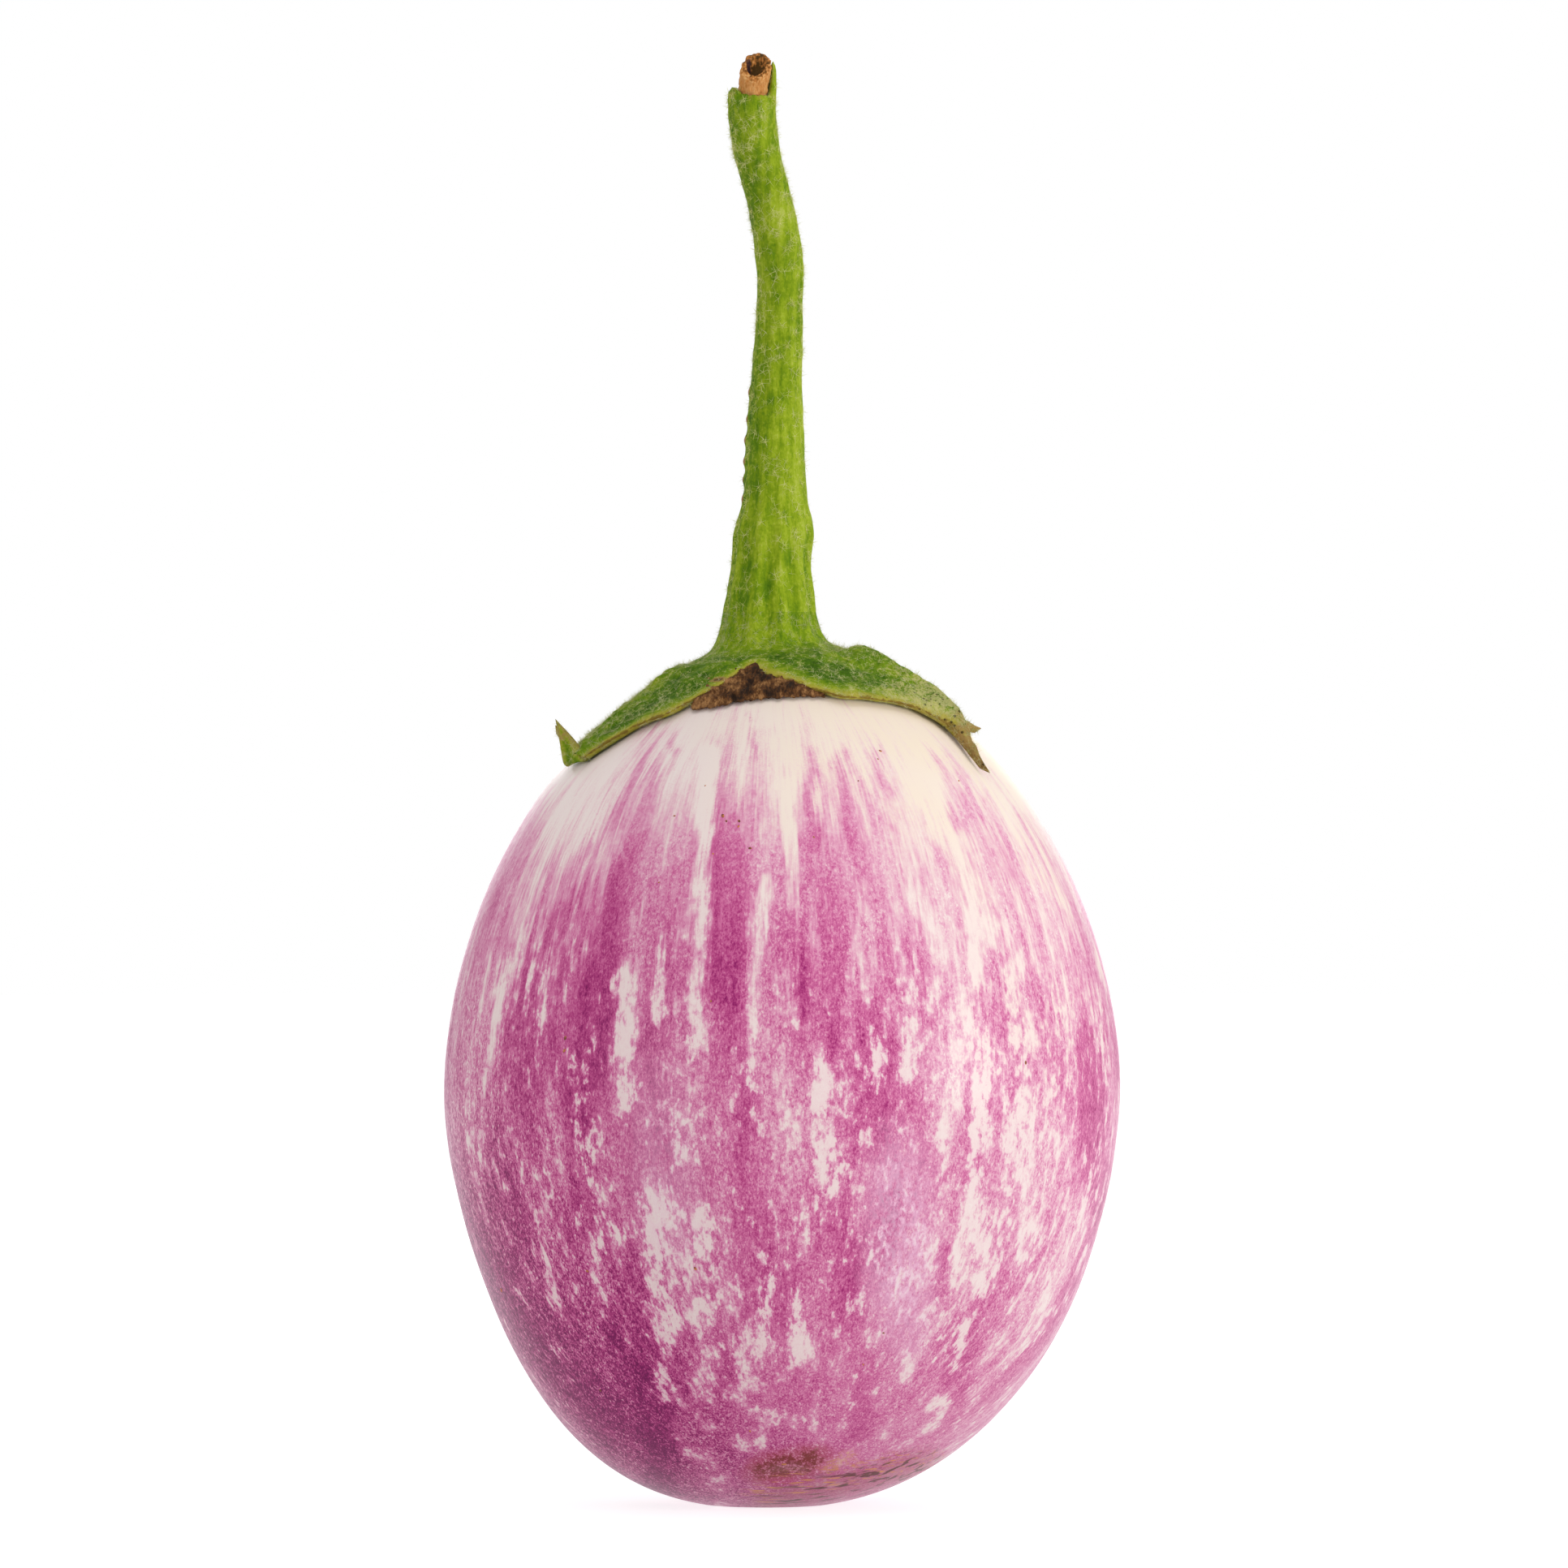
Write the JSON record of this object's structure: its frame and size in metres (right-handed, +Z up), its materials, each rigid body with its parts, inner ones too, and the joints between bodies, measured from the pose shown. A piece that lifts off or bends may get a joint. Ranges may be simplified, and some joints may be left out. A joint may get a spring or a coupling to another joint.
{
  "type": "striped eggplant",
  "caption": "Egg-shaped pink and cream striped eggplant with a felted green calyx and a long bowed stem, standing on its blossom end.",
  "frame": {"origin": "on the flat spot at the blossom end that the fruit stands on, under the middle of the fruit", "axes": "+Z up through the fruit and its stem, -Y the front, where the calyx is split, +X to the right seen from the front"},
  "size_m": [0.078, 0.078, 0.1679],
  "materials": {
    "skin": "smooth glossy skin, cream at the shoulder, streaked and speckled in pink and purple",
    "calyx_green": "felted matte leaf with pale star hairs, yellow-green along the thin margin",
    "stem_green": "satin yellow-green stalk with fine ribs and pale star hairs",
    "dry_wood": "rough dry tan stub with a dark hollow end"
  },
  "bodies": {
    "root": {"fruit": "skin", "calyx": "calyx_green", "stem": "stem_green", "stem_core": "dry_wood"}
  },
  "joints": []
}
